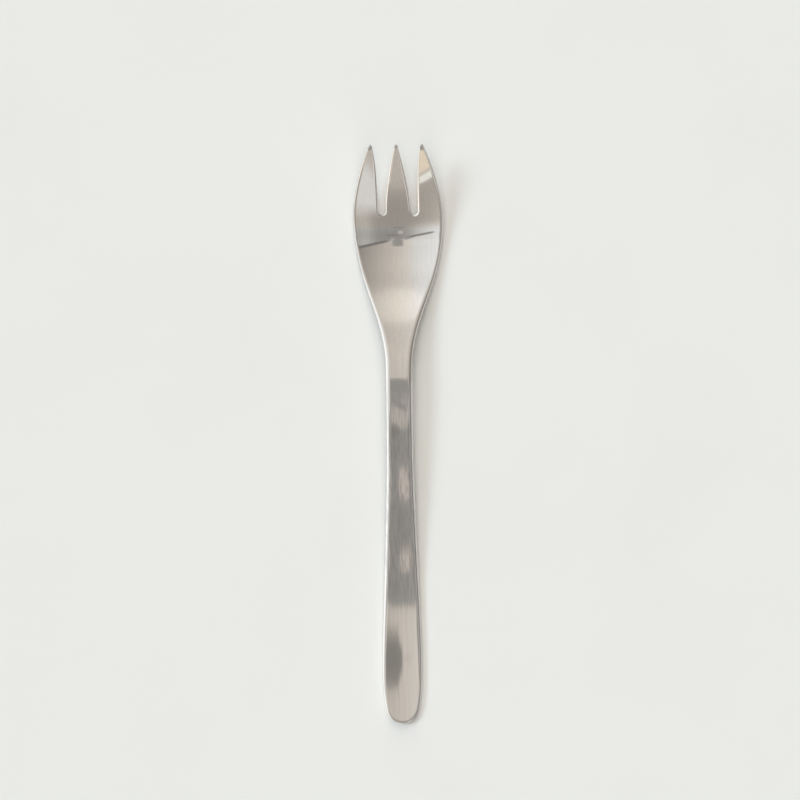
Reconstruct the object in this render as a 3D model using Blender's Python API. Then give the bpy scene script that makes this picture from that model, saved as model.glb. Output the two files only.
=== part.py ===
"""One-piece dessert fork: a flat blank with rounded edges, pressed to its side profile.

The fork lies on its back with the tines towards +Y and the hollow of the head up.
Lengths are in metres.
"""

import math

import bmesh
import bpy
from mathutils import Vector

# Plan of the fork.
LENGTH = 0.1700
TAIL_ROUND_WIDTH = 0.0096
TAIL_ROUND_LENGTH = 0.0041
TAIL_FLARE = math.radians(12.0)
HANDLE_WIDTH = 0.0116
HANDLE_WIDEST_FROM_TAIL = 0.0185
NECK_WIDTH = 0.0077
NECK_FROM_TAIL = 0.0840
NECK_FROM_TIPS = 0.0655
HEAD_WIDTH = 0.0263
HEAD_WIDEST_FROM_TIPS = 0.0200

# Tines and the slots between them.
TINE_LENGTH = 0.0194
SLOT_WIDTH = 0.0023
MIDDLE_TINE_WIDTH = 0.0073
TIP_SPACING = 0.0075
TIP_RADIUS = 0.00055
OUTER_TIP_LEAN = math.radians(27.0)
INNER_TIP_LEAN = math.radians(12.0)
MIDDLE_TIP_LEAN = math.radians(15.5)

# Fullness of the outline: handle lengths as shares of the stretch that they shape.
TAIL_SIDE_PULL = 0.30
WIDEST_PULL_BACK = 0.40
WIDEST_PULL_AHEAD = 0.20
NECK_PULL = 0.30
FLARE_PULL = 0.38
HEAD_PULL_BACK = 0.46
HEAD_PULL_AHEAD = 0.30
OUTER_SIDE_PULL = 0.30
INNER_SIDE_PULL = 0.25
SLOT_SIDE_PULL = 0.50
MIDDLE_ROOT_PULL = 0.25
MIDDLE_SIDE_PULL = 0.30

# Side profile, measured from the table.
REST_LENGTH = 0.0195
REST_RADIUS = 0.3200
RISE_FROM_TAIL = 0.0600
RISE_HEIGHT = 0.0046
RISE_SLOPE = math.radians(7.4)
CREST_FROM_TIPS = 0.0685
CREST_HEIGHT = 0.0083
CREST_RADIUS = 0.1000
BELLY_FROM_TIPS = 0.0300
BELLY_RADIUS = 0.0350
TIP_HEIGHT = 0.0152
TIP_SLOPE = math.radians(36.0)

# Hollow of the head across its width.
DISH_DEPTH = 0.0018
TIP_DISH = 0.0006

# Thickness along the fork, and the rounding of its edges.
TAIL_THICKNESS = 0.0020
NECK_THICKNESS = 0.0025
BOWL_THICKNESS = 0.0016
TIP_THICKNESS = 0.0011
EDGE_RADIUS = 0.0004
EDGE_SHARE_OF_TIP = 0.8

# Mesh density, the weld distance and the step that slopes are measured over.
OUTLINE_STEPS = 10
EDGE_STEPS = 1
PRESS_STEP = 0.0030
DISH_COLUMNS = 12
WELD = 0.0000001
PROBE = 0.00001

# Headings in the plan, turned from +X.
RIGHT = 0.0
UP = math.pi / 2
LEFT = math.pi
DOWN = 1.5 * math.pi

# The edge stays inside the tip's own radius, and the bent tip swings forward a little.
edge_radius = min(EDGE_RADIUS, EDGE_SHARE_OF_TIP * TIP_RADIUS)
tip_swing = math.sin(TIP_SLOPE) * TIP_THICKNESS * (0.5 - edge_radius / TAIL_THICKNESS)

tail_y = -LENGTH / 2
tip_y = LENGTH / 2 - tip_swing
slot_y = tip_y - TINE_LENGTH
rest_y = tail_y + REST_LENGTH
rise_y = tail_y + RISE_FROM_TAIL
crest_y = tip_y - CREST_FROM_TIPS
belly_y = tip_y - BELLY_FROM_TIPS


def clear_scene():
    """Remove every object that the scene starts with."""
    for item in list(bpy.data.objects):
        bpy.data.objects.remove(item, do_unlink=True)


def knot(x, y, heading, back, ahead):
    """Return an outline knot: its place, the handle behind it and the handle ahead of it."""
    point = Vector((x, y, 0.0))
    along = Vector((math.cos(heading), math.sin(heading), 0.0))
    return point, point - along * back, point + along * ahead


def arc_handle(radius, angle):
    """Return the handle length that makes a circular arc."""
    return 4.0 / 3.0 * math.tan(angle / 4.0) * radius


def tip_knots(x, right_lean, left_lean, right_pull, left_pull):
    """Return the knots round one tine tip, walked from its right side to its left side."""
    centre_y = tip_y - TIP_RADIUS
    right_arc = arc_handle(TIP_RADIUS, UP - right_lean)
    left_arc = arc_handle(TIP_RADIUS, UP - left_lean)
    right_x = x + TIP_RADIUS * math.cos(right_lean)
    left_x = x - TIP_RADIUS * math.cos(left_lean)
    right_y = centre_y + TIP_RADIUS * math.sin(right_lean)
    left_y = centre_y + TIP_RADIUS * math.sin(left_lean)
    return [
        knot(right_x, right_y, UP + right_lean, right_pull, right_arc),
        knot(x, tip_y, LEFT, right_arc, left_arc),
        knot(left_x, left_y, DOWN - left_lean, left_arc, left_pull),
    ]


def handle_knots():
    """Return the knots of the right side from the tail's middle to the end of the neck."""
    tail_half = TAIL_ROUND_WIDTH / 2
    round_y = tail_y + TAIL_ROUND_LENGTH
    widest_y = tail_y + HANDLE_WIDEST_FROM_TAIL
    neck_y = tail_y + NECK_FROM_TAIL
    neck_end = tip_y - NECK_FROM_TIPS
    head_y = tip_y - HEAD_WIDEST_FROM_TIPS
    end_arc = arc_handle(tail_half, UP)
    side_arc = arc_handle(TAIL_ROUND_LENGTH, UP)
    side = widest_y - round_y
    waist = neck_y - widest_y
    straight = (neck_end - neck_y) / 3.0
    flare = head_y - neck_end
    return [
        knot(0.0, tail_y, RIGHT, end_arc, end_arc),
        knot(tail_half, round_y, UP - TAIL_FLARE, side_arc, TAIL_SIDE_PULL * side),
        knot(HANDLE_WIDTH / 2, widest_y, UP, WIDEST_PULL_BACK * side, WIDEST_PULL_AHEAD * waist),
        knot(NECK_WIDTH / 2, neck_y, UP, NECK_PULL * waist, straight),
        knot(NECK_WIDTH / 2, neck_end, UP, straight, FLARE_PULL * flare),
        knot(HEAD_WIDTH / 2, head_y, UP, HEAD_PULL_BACK * flare, HEAD_PULL_AHEAD * (tip_y - head_y)),
    ]


def tine_knots():
    """Return the knots of the right tine, the slot beside it and half of the middle tine."""
    slot_radius = SLOT_WIDTH / 2
    slot_arc = arc_handle(slot_radius, UP)
    inner_x = MIDDLE_TINE_WIDTH / 2
    root_y = slot_y + slot_radius
    run = tip_y - root_y
    outer_tip = tip_knots(
        TIP_SPACING, OUTER_TIP_LEAN, INNER_TIP_LEAN, OUTER_SIDE_PULL * run, INNER_SIDE_PULL * run
    )
    slot = [
        knot(inner_x + SLOT_WIDTH, root_y, DOWN, SLOT_SIDE_PULL * run, slot_arc),
        knot(inner_x + slot_radius, slot_y, LEFT, slot_arc, slot_arc),
        knot(inner_x, root_y, UP, slot_arc, MIDDLE_ROOT_PULL * run),
    ]
    side_pull = MIDDLE_SIDE_PULL * run
    middle_tip = tip_knots(0.0, MIDDLE_TIP_LEAN, MIDDLE_TIP_LEAN, side_pull, side_pull)
    return outer_tip + slot + middle_tip[:2]


def mirrored(knots):
    """Return the same knots on the left, with their handles swapped for walking back."""
    flip = Vector((-1.0, 1.0, 1.0))
    return [tuple(flip * part for part in (point, ahead, back)) for point, back, ahead in knots]


def build_blank():
    """Return the flat blank, its edges rounded, with one polygon on each side."""
    right = handle_knots() + tine_knots()
    knots = right + mirrored(right[1:-1])[::-1]
    curve = bpy.data.curves.new("blank_outline", "CURVE")
    curve.dimensions = "2D"
    curve.fill_mode = "BOTH"
    curve.extrude = TAIL_THICKNESS / 2 - edge_radius
    curve.bevel_depth = edge_radius
    curve.bevel_resolution = EDGE_STEPS
    curve.offset = -edge_radius
    spline = curve.splines.new("BEZIER")
    spline.bezier_points.add(len(knots) - 1)
    spline.use_cyclic_u = True
    spline.resolution_u = OUTLINE_STEPS
    for place, (point, back, ahead) in zip(spline.bezier_points, knots):
        place.handle_left_type = "FREE"
        place.handle_right_type = "FREE"
        place.co = point
        place.handle_left = back
        place.handle_right = ahead
    holder = bpy.data.objects.new("blank", curve)
    bpy.context.scene.collection.objects.link(holder)
    blank = bmesh.new()
    blank.from_mesh(bpy.data.meshes.new_from_object(holder))
    bpy.data.objects.remove(holder, do_unlink=True)
    bpy.data.curves.remove(curve)
    bmesh.ops.remove_doubles(blank, verts=blank.verts, dist=WELD)
    for side in (-1.0, 1.0):
        level = [face for face in blank.faces if face.normal.z * side > 0.999]
        bmesh.ops.dissolve_faces(blank, faces=level)
    return blank


def cut(blank, faces, place, normal):
    """Cut the faces along a plane, so that they can bend there."""
    edges = {edge for face in faces for edge in face.edges}
    verts = {vert for face in faces for vert in face.verts}
    bmesh.ops.bisect_plane(
        blank, geom=[*verts, *edges, *faces], dist=WELD, plane_co=place, plane_no=normal
    )


def add_bend_lines(blank):
    """Cut rows along the fork past its flat end and columns down its head."""
    rows = math.ceil((tip_y - rest_y) / PRESS_STEP)
    for row in range(rows):
        y = rest_y + (tip_y - rest_y) * row / rows
        cut(blank, list(blank.faces), (0.0, y, 0.0), (0.0, 1.0, 0.0))
    for column in range(1, DISH_COLUMNS):
        x = HEAD_WIDTH * (column / DISH_COLUMNS - 0.5)
        head = [face for face in blank.faces if min(vert.co.y for vert in face.verts) > crest_y]
        cut(blank, head, (x, 0.0, 0.0), (1.0, 0.0, 0.0))


def blend(value, start, end):
    """Return 0 before start, 1 past end and a smooth step between."""
    t = min(max((value - start) / (end - start), 0.0), 1.0)
    return t * t * (3.0 - 2.0 * t)


def thickness(y):
    """Return the metal's thickness at a place along the fork."""
    neck = (NECK_THICKNESS - TAIL_THICKNESS) * blend(y, rest_y, crest_y)
    bowl = (BOWL_THICKNESS - NECK_THICKNESS) * blend(y, crest_y, belly_y)
    tips = (TIP_THICKNESS - BOWL_THICKNESS) * blend(y, belly_y, tip_y)
    return TAIL_THICKNESS + neck + bowl + tips


def bend(y, start, end):
    """Return the height between two stations, each a place, height, slope and curvature."""
    run = end[0] - start[0]
    t = (y - start[0]) / run
    slope = start[2] * run
    curl = start[3] * run * run / 2.0
    lift = end[1] - start[1] - slope - curl
    turn = end[2] * run - slope - 2.0 * curl
    twist = end[3] * run * run - 2.0 * curl
    cubic = 10.0 * lift - 4.0 * turn + 0.5 * twist
    quartic = -15.0 * lift + 7.0 * turn - twist
    quintic = 6.0 * lift - 3.0 * turn + 0.5 * twist
    return start[1] + t * (slope + t * (curl + t * (cubic + t * (quartic + t * quintic))))


def middle_height(x, y):
    """Return the height of the middle of the metal: the side profile plus the head's hollow."""
    stations = [
        (rest_y, TAIL_THICKNESS / 2, 0.0, 1.0 / REST_RADIUS),
        (rise_y, RISE_HEIGHT - thickness(rise_y) / 2, math.tan(RISE_SLOPE), 0.0),
        (crest_y, CREST_HEIGHT - NECK_THICKNESS / 2, 0.0, -1.0 / CREST_RADIUS),
        (belly_y, BOWL_THICKNESS / 2, 0.0, 1.0 / BELLY_RADIUS),
        (tip_y, TIP_HEIGHT - TIP_THICKNESS / 2, math.tan(TIP_SLOPE), 0.0),
    ]
    height = stations[0][1]
    for start, end in zip(stations, stations[1:]):
        if y > start[0]:
            height = bend(y, start, end)
    depth = DISH_DEPTH * blend(y, crest_y, belly_y)
    depth += (TIP_DISH - DISH_DEPTH) * blend(y, slot_y, tip_y)
    return height + depth * (2.0 * x / HEAD_WIDTH) ** 2


def pressed(place):
    """Return where a point of the flat blank goes in the press."""
    x, y, level = place
    side = middle_height(x + PROBE, y) - middle_height(x - PROBE, y)
    along = middle_height(x, y + PROBE) - middle_height(x, y - PROBE)
    normal = Vector((-side, -along, 2.0 * PROBE)).normalized()
    middle = Vector((x, y, middle_height(x, y)))
    return middle + normal * (level * thickness(y) / TAIL_THICKNESS)


def build_fork():
    """Press the blank and return the fork's mesh."""
    blank = build_blank()
    add_bend_lines(blank)
    for vert in blank.verts:
        vert.co = pressed(vert.co)
    bmesh.ops.triangulate(blank, faces=blank.faces)
    bmesh.ops.recalc_face_normals(blank, faces=blank.faces)
    for face in blank.faces:
        face.smooth = True
    mesh = bpy.data.meshes.new("fork")
    blank.to_mesh(mesh)
    blank.free()
    return mesh


def steel():
    """Return the satin stainless steel of the fork."""
    material = bpy.data.materials.new("satin_steel")
    material.use_nodes = True
    shader = material.node_tree.nodes["Principled BSDF"]
    shader.inputs["Base Color"].default_value = (0.64, 0.62, 0.59, 1.0)
    shader.inputs["Metallic"].default_value = 1.0
    shader.inputs["Roughness"].default_value = 0.3
    return material


def main():
    """Build the fork in a collection of its own."""
    clear_scene()
    parts = bpy.data.collections.new("dessert_fork")
    bpy.context.scene.collection.children.link(parts)
    fork = bpy.data.objects.new("fork", build_fork())
    fork.data.materials.append(steel())
    parts.objects.link(fork)


main()
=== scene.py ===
"""Looks of the dessert fork: one piece of satin steel, lying on its back on a pale table.

The tines point towards +Y and the hollow of the head faces up. Lengths are in metres.
"""

import logging
import math
from dataclasses import dataclass, field
from enum import Enum

import bmesh
import bpy
import numpy as np
from mathutils import Matrix, Vector


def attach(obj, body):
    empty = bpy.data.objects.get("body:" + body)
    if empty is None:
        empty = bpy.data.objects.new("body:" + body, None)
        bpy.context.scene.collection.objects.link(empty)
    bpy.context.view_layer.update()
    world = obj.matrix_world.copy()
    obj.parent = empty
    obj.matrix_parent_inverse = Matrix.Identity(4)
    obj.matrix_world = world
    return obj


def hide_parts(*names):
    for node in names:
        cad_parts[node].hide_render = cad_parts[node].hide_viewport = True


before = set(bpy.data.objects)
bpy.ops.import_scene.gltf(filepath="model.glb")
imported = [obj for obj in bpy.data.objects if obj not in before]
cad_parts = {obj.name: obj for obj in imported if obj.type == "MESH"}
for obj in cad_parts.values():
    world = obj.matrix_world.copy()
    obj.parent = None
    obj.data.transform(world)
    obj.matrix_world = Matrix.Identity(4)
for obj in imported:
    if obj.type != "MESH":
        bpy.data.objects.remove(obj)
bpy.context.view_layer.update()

Array = np.ndarray
Colour = tuple[float, float, float]
Band = tuple[float, float]
Stops = tuple[tuple[float, float], ...]
Socket = bpy.types.NodeSocket
LOG = logging.getLogger("dessert_fork")

FORK_NODE = "fork"
FORK_BODY = "root"

# Headings in the plan, turned from +X.
RIGHT = 0.0
UP = math.pi / 2
LEFT = math.pi
DOWN = 1.5 * math.pi

STRETCH_SAMPLES = 300
PROBE = 0.00001
WELD = 0.0000001
MIRROR = np.array((-1.0, 1.0))

# Kinds of node sockets, a colour's full cover, a noise's middle and the end of a ray's first leg.
FLOAT = "NodeSocketFloat"
VECTOR = "NodeSocketVector"
OPAQUE = 1.0
NOISE_MIDDLE = 0.5
FIRST_LEG = 0.5


class Face(Enum):
    """The two broad faces of the pressed sheet, by the sign of their level."""

    HOLLOW = 1.0
    BACK = -1.0


class Finish(Enum):
    """The two finishes of the steel, by the material slot that they fill."""

    SATIN = 0
    POLISHED = 1


def smooth_step(value: Array, start: float, end: float) -> Array:
    """Return 0 before start, 1 past end and the cubic 3t^2 - 2t^3 between them.

    Args:
        value: Places to measure.
        start: Where the step begins.
        end: Where the step is complete.

    Returns:
        The share of the step done at each place.
    """
    t = np.clip((value - start) / (end - start), 0.0, 1.0)
    return t * t * (3.0 - 2.0 * t)


def stepped(y: Array, value: float, steps: list[tuple[float, float, float]]) -> Array:
    """Return a value that changes along the fork by smooth steps.

    Args:
        y: Places along the fork.
        value: Value before the first step.
        steps: Value after each step, where the step begins and where it is complete.

    Returns:
        The value at each place.
    """
    result = np.full_like(y, value)
    for target, start, end in steps:
        result = result + (target - value) * smooth_step(y, start, end)
        value = target
    return result


def arc_handle(radius: float, angle: float) -> float:
    """Return the handle length that makes a cubic curve follow a circular arc."""
    return 4.0 / 3.0 * math.tan(angle / 4.0) * radius


def put(name: str, data: bpy.types.ID) -> bpy.types.Object:
    """Put new data into the scene.

    Args:
        name: Name of the object.
        data: Its mesh, light or camera.

    Returns:
        The object.
    """
    made = bpy.data.objects.new(name, data)
    bpy.context.scene.collection.objects.link(made)
    return made


@dataclass(frozen=True)
class Knot:
    """A point of the outline, its heading and the lengths of its two handles."""

    x: float
    y: float
    heading: float
    back: float
    ahead: float

    def place(self) -> Array:
        """Return the point in plan."""
        return np.array((self.x, self.y))

    def along(self) -> Array:
        """Return the unit heading."""
        return np.array((math.cos(self.heading), math.sin(self.heading)))


@dataclass(frozen=True)
class RimStretch:
    """A stretch of the outline: points in plan, and the way out of the metal at each."""

    points: Array
    outward: Array

    def walked(self) -> Array:
        """Return the distance from the stretch's start to each point."""
        steps = np.linalg.norm(np.diff(self.points, axis=0), axis=1)
        return np.concatenate(([0.0], np.cumsum(steps)))

    def resampled(self, count: int) -> "RimStretch":
        """Space points evenly along the stretch.

        Args:
            count: Number of points, both ends included.

        Returns:
            The same stretch on the new points.
        """
        walked = self.walked()
        wanted = np.linspace(0.0, walked[-1], count)
        points, outward = (
            np.stack([np.interp(wanted, walked, axis) for axis in values.T], axis=1)
            for values in (self.points, self.outward)
        )
        return RimStretch(points, outward / np.linalg.norm(outward, axis=1, keepdims=True))

    def mirrored(self) -> "RimStretch":
        """Return the stretch on the other side of the fork, walked the other way."""
        return RimStretch(self.points[::-1] * MIRROR, self.outward[::-1] * MIRROR)

    def then(self, other: "RimStretch") -> "RimStretch":
        """Return this stretch followed by another that starts where it ends."""
        points = np.concatenate((self.points, other.points[1:]))
        return RimStretch(points, np.concatenate((self.outward, other.outward[1:])))


def curve(start: Knot, end: Knot, first: float = 0.0, last: float = 1.0) -> RimStretch:
    """Walk the cubic Bezier curve between two knots.

    The point is the Bernstein sum of the two knots and their handles. The way out is the
    tangent turned a quarter to the right, because the outline is walked with the metal on
    its left.

    Args:
        start: Knot that the curve leaves.
        end: Knot that it reaches.
        first: Share of the curve at which the walk starts.
        last: Share of the curve at which it ends.

    Returns:
        The stretch walked.
    """
    t = np.linspace(first, last, STRETCH_SAMPLES)[:, None]
    s = 1.0 - t
    a, d = start.place(), end.place()
    b = a + start.along() * start.ahead
    c = d - end.along() * end.back
    points = s**3 * a + 3.0 * s**2 * t * b + 3.0 * s * t**2 * c + t**3 * d
    tangent = s**2 * (b - a) + 2.0 * s * t * (c - b) + t**2 * (d - c)
    tangent /= np.linalg.norm(tangent, axis=1, keepdims=True)
    return RimStretch(points, np.stack((tangent[:, 1], -tangent[:, 0]), axis=1))


@dataclass
class ForkPlan:
    """Outline of the fork seen from above, with its tines and slots."""

    length: float = 0.1700
    tip_swing: float = 0.0002
    tail_round_width: float = 0.0096
    tail_round_length: float = 0.0041
    tail_flare: float = math.radians(12.0)
    handle_width: float = 0.0116
    handle_widest_from_tail: float = 0.0185
    neck_width: float = 0.0077
    neck_from_tail: float = 0.0840
    neck_from_tips: float = 0.0655
    head_width: float = 0.0263
    head_widest_from_tips: float = 0.0200
    tine_length: float = 0.0194
    slot_width: float = 0.0023
    middle_tine_width: float = 0.0073
    tip_spacing: float = 0.0075
    tip_radius: float = 0.00055
    outer_tip_lean: float = math.radians(27.0)
    inner_tip_lean: float = math.radians(12.0)
    middle_tip_lean: float = math.radians(15.5)
    tail_side_pull: float = 0.30
    widest_pull_back: float = 0.40
    widest_pull_ahead: float = 0.20
    neck_pull: float = 0.30
    flare_pull: float = 0.38
    head_pull_back: float = 0.46
    head_pull_ahead: float = 0.30
    outer_side_pull: float = 0.30
    inner_side_pull: float = 0.25
    slot_side_pull: float = 0.50
    middle_root_pull: float = 0.25
    middle_side_pull: float = 0.30

    @property
    def tail_y(self) -> float:
        """Place of the handle's end."""
        return -self.length / 2

    @property
    def tip_y(self) -> float:
        """Place of the tine tips in the flat."""
        return self.length / 2 - self.tip_swing

    @property
    def slot_y(self) -> float:
        """Place of the slots' round ends."""
        return self.tip_y - self.tine_length

    @property
    def root_y(self) -> float:
        """Place where the slots' straight sides begin."""
        return self.slot_y + self.slot_width / 2

    def handle_knots(self) -> list[Knot]:
        """Work out the right side, with handles that are shares of each stretch's length.

        Returns:
            The knots from the tail's middle to the widest part of the head.
        """
        tail_half = self.tail_round_width / 2
        round_y = self.tail_y + self.tail_round_length
        widest_y = self.tail_y + self.handle_widest_from_tail
        neck_y = self.tail_y + self.neck_from_tail
        neck_end = self.tip_y - self.neck_from_tips
        head_y = self.tip_y - self.head_widest_from_tips
        end_arc = arc_handle(tail_half, UP)
        side_arc = arc_handle(self.tail_round_length, UP)
        side = widest_y - round_y
        waist = neck_y - widest_y
        straight = (neck_end - neck_y) / 3.0
        flare = head_y - neck_end
        head_ahead = self.head_pull_ahead * (self.tip_y - head_y)
        return [
            Knot(0.0, self.tail_y, RIGHT, end_arc, end_arc),
            Knot(tail_half, round_y, UP - self.tail_flare, side_arc, self.tail_side_pull * side),
            Knot(
                self.handle_width / 2,
                widest_y,
                UP,
                self.widest_pull_back * side,
                self.widest_pull_ahead * waist,
            ),
            Knot(self.neck_width / 2, neck_y, UP, self.neck_pull * waist, straight),
            Knot(self.neck_width / 2, neck_end, UP, straight, self.flare_pull * flare),
            Knot(self.head_width / 2, head_y, UP, self.head_pull_back * flare, head_ahead),
        ]

    def tip_knots(
        self, x: float, right_lean: float, left_lean: float, right_pull: float, left_pull: float
    ) -> list[Knot]:
        """Return the three knots round a tine's tip, from its right side to its left side.

        Args:
            x: Place of the tip across the fork.
            right_lean: Lean of the tine's right side.
            left_lean: Lean of its left side.
            right_pull: Handle down the right side.
            left_pull: Handle down the left side.

        Returns:
            The end of the right side, the tip and the end of the left side.
        """
        radius = self.tip_radius
        centre_y = self.tip_y - radius
        right_arc = arc_handle(radius, UP - right_lean)
        left_arc = arc_handle(radius, UP - left_lean)
        right_x = x + radius * math.cos(right_lean)
        right_y = centre_y + radius * math.sin(right_lean)
        left_x = x - radius * math.cos(left_lean)
        left_y = centre_y + radius * math.sin(left_lean)
        return [
            Knot(right_x, right_y, UP + right_lean, right_pull, right_arc),
            Knot(x, self.tip_y, LEFT, right_arc, left_arc),
            Knot(left_x, left_y, DOWN - left_lean, left_arc, left_pull),
        ]

    def outer_tip_knots(self) -> list[Knot]:
        """Work out the right tine's tip, which leans more outside than inside.

        Returns:
            The knots round the tip.
        """
        run = self.tip_y - self.root_y
        return self.tip_knots(
            self.tip_spacing,
            self.outer_tip_lean,
            self.inner_tip_lean,
            self.outer_side_pull * run,
            self.inner_side_pull * run,
        )

    def middle_tip_knots(self) -> list[Knot]:
        """Return the knots round the middle tine's tip."""
        pull = self.middle_side_pull * (self.tip_y - self.root_y)
        return self.tip_knots(0.0, self.middle_tip_lean, self.middle_tip_lean, pull, pull)

    def slot_knots(self) -> list[Knot]:
        """Work out the right slot, which ends in a half circle.

        Returns:
            The knots of its right side, its round end and its left side.
        """
        radius = self.slot_width / 2
        arc = arc_handle(radius, UP)
        inner_x = self.middle_tine_width / 2
        run = self.tip_y - self.root_y
        return [
            Knot(inner_x + self.slot_width, self.root_y, DOWN, self.slot_side_pull * run, arc),
            Knot(inner_x + radius, self.slot_y, LEFT, arc, arc),
            Knot(inner_x, self.root_y, UP, arc, self.middle_root_pull * run),
        ]

    def tail_end(self) -> RimStretch:
        """Return the handle's rounded end, from its left side to its right side."""
        right = curve(*self.handle_knots()[:2])
        return right.mirrored().then(right)

    def flank(self, seam_y: float) -> RimStretch:
        """Return the right side from the rounded end to the seam below the tines.

        Args:
            seam_y: Place of the seam along the fork.

        Returns:
            The stretch, walked towards the tines.
        """
        knots = self.handle_knots()[1:]
        stretch = curve(knots[0], knots[1])
        for start, end in zip(knots[1:], knots[2:]):
            stretch = stretch.then(curve(start, end))
        return stretch.then(curve(knots[-1], self.outer_tip_knots()[0], 0.0, self.seam_share(seam_y)))

    def seam_share(self, seam_y: float) -> float:
        """Return how much of the outer tine's side lies below the seam."""
        whole = curve(self.handle_knots()[-1], self.outer_tip_knots()[0])
        return float(np.interp(seam_y, whole.points[:, 1], np.linspace(0.0, 1.0, STRETCH_SAMPLES)))

    def outer_side(self, seam_y: float) -> RimStretch:
        """Return the right tine's outer side, from the seam to its tip."""
        return curve(self.handle_knots()[-1], self.outer_tip_knots()[0], self.seam_share(seam_y), 1.0)

    def outer_tip(self) -> RimStretch:
        """Return the round of the right tine's tip, from right to left."""
        right, tip, left = self.outer_tip_knots()
        return curve(right, tip).then(curve(tip, left))

    def inner_side(self) -> RimStretch:
        """Return the right tine's inner side, from its tip to half way round the slot's corner."""
        right, end, _ = self.slot_knots()
        return curve(self.outer_tip_knots()[2], right).then(curve(right, end, 0.0, 0.5))

    def slot_end(self) -> RimStretch:
        """Return the bottom quarter of the right slot's round end, from right to left."""
        right, end, left = self.slot_knots()
        return curve(right, end, 0.5, 1.0).then(curve(end, left, 0.0, 0.5))

    def middle_side(self) -> RimStretch:
        """Return the middle tine's right side, from the slot's corner to the tip."""
        _, end, left = self.slot_knots()
        return curve(end, left, 0.5, 1.0).then(curve(left, self.middle_tip_knots()[0]))

    def middle_tip(self) -> RimStretch:
        """Return the round of the middle tine's tip, from right to left."""
        right, tip, left = self.middle_tip_knots()
        return curve(right, tip).then(curve(tip, left))


@dataclass(frozen=True)
class Station:
    """A place along the side profile: height of the metal's middle, slope and curvature."""

    y: float
    height: float
    slope: float
    curl: float


def bend(y: Array, start: Station, end: Station) -> Array:
    """Return heights on the quintic that meets height, slope and curvature at both stations.

    Args:
        y: Places along the fork.
        start: Station that the bend leaves.
        end: Station that it reaches.

    Returns:
        The height at each place.
    """
    run = end.y - start.y
    t = (y - start.y) / run
    slope = start.slope * run
    curl = start.curl * run * run / 2.0
    lift = end.height - start.height - slope - curl
    turn = end.slope * run - slope - 2.0 * curl
    twist = end.curl * run * run - 2.0 * curl
    cubic = 10.0 * lift - 4.0 * turn + 0.5 * twist
    quartic = -15.0 * lift + 7.0 * turn - twist
    quintic = 6.0 * lift - 3.0 * turn + 0.5 * twist
    return start.height + t * (slope + t * (curl + t * (cubic + t * (quartic + t * quintic))))


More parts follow.
